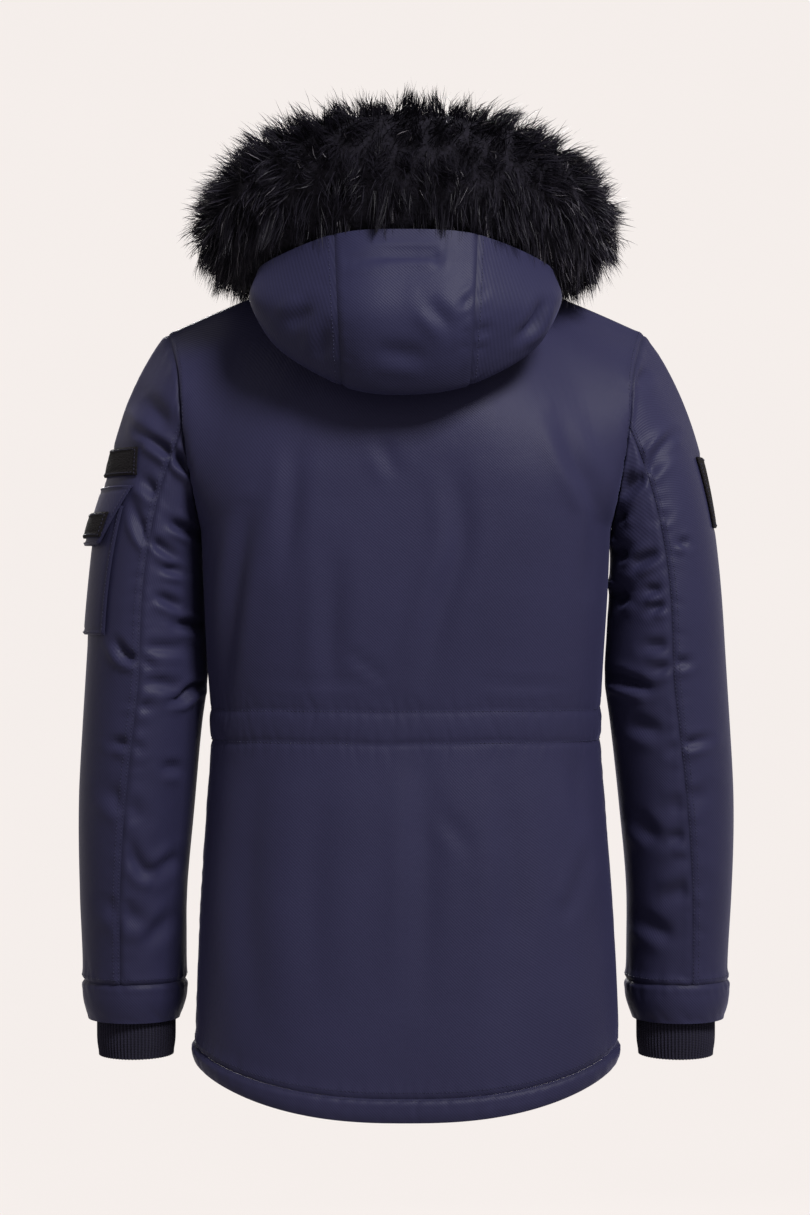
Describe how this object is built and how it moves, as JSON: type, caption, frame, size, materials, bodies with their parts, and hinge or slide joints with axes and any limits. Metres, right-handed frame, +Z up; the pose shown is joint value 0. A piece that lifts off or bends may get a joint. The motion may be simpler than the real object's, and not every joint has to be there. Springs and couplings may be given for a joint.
{
  "type": "fur trimmed parka",
  "caption": "Navy twill parka, closed and filled out, with the hood down, long black fur round the hood's edge, a drawn waist, a sleeve pocket and knitted cuffs.",
  "frame": {"origin": "middle of the neck base, on the line between the two side neck points, where a wearer holds the coat up", "axes": "+Z up; the back faces +Y and the zipped front faces -Y; the wearer's left sleeve is on +X"},
  "size_m": [0.657, 0.3633, 0.977],
  "materials": {
    "shell": "navy cotton and nylon twill, soft satin",
    "hood_shell": "navy twill of the hood",
    "fur": "long black pile with silvery guard hairs",
    "knit": "rib knit",
    "loop_pile": "black hook-and-loop pile",
    "zip_tape": "woven tape",
    "zip_metal": "nickel plated"
  },
  "bodies": {
    "parka": {"back": "shell", "front_left": "shell", "front_right": "shell", "hem_back": "shell", "hem_front_left": "shell", "hem_front_right": "shell", "sleeve_left_upper": "shell", "sleeve_left_under": "shell", "sleeve_right_upper": "shell", "sleeve_right_under": "shell", "cuff_left": "shell", "cuff_right": "shell", "rib_left": "knit", "rib_right": "knit", "hood_left": "hood_shell", "hood_centre": "hood_shell", "hood_right": "hood_shell", "fur_trim": "fur", "sleeve_pocket": "shell", "pocket_flap": "shell", "flap_patch": "loop_pile", "arm_patch_left": "loop_pile", "arm_patch_right": "loop_pile", "zip_tape_left": "zip_tape", "zip_tape_right": "zip_tape", "zip_teeth": "zip_metal", "zip_slider": "zip_metal"},
    "pull_tab": {"zip_pull": "zip_metal"}
  },
  "joints": [
    {"name": "zip_pull_swing", "type": "hinge", "parent": "parka", "child": "pull_tab", "pos_m": [0, -0.11149, -0.10051], "axis": [-1, 0, 0], "range_deg": [0, 150]}
  ]
}
